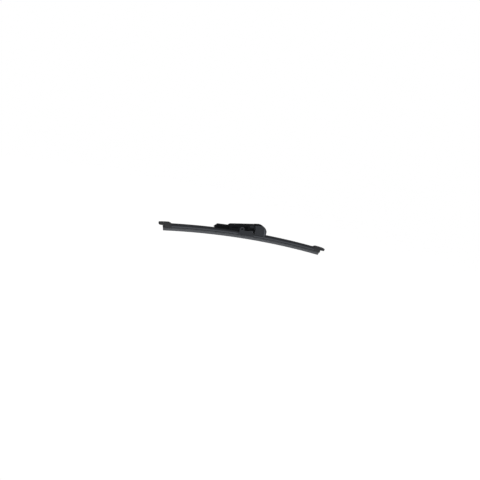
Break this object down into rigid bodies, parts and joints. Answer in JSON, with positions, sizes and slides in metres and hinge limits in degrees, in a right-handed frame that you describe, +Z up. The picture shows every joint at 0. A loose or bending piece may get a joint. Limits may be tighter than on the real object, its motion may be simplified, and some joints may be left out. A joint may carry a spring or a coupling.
{
  "type": "wiper blade",
  "caption": "Short curved wiper blade: rubber lip on sprung rails under a low spoiler, with end caps and a pivoting snap-in arm adaptor with a rounded nose.",
  "frame": {"origin": "on the arm seat, the flat top of the adaptor's shank, above the middle of the blade", "axes": "+X along the blade towards the adaptor's nose, +Z up from the lip to the adaptor, +Y to the rear face of the blade"},
  "size_m": [0.297, 0.0156, 0.0362],
  "materials": {
    "rubber": "matt dark grey rubber",
    "rail_steel": "black coated spring steel",
    "spoiler": "fine matt black",
    "cap": "fine matt black",
    "base": "fine matt black",
    "pin": "black coated steel",
    "adaptor": "deep black, slightly satin",
    "cover": "fine matt black"
  },
  "bodies": {
    "adaptor": {"arm_adaptor": "adaptor", "nose_cover": "cover"},
    "blade": {"connector_base": "base", "pivot_pin": "pin", "wiper_rubber": "rubber", "front_spring_rail": "rail_steel", "rear_spring_rail": "rail_steel", "left_spoiler": "spoiler", "right_spoiler": "spoiler", "left_end_cap": "cap", "right_end_cap": "cap"}
  },
  "joints": [
    {"name": "blade_pivot", "type": "hinge", "parent": "adaptor", "child": "blade", "pos_m": [-0.0086, 0, -0.00858], "axis": [0, 1, 0], "range_deg": [-10, 0.4]}
  ]
}
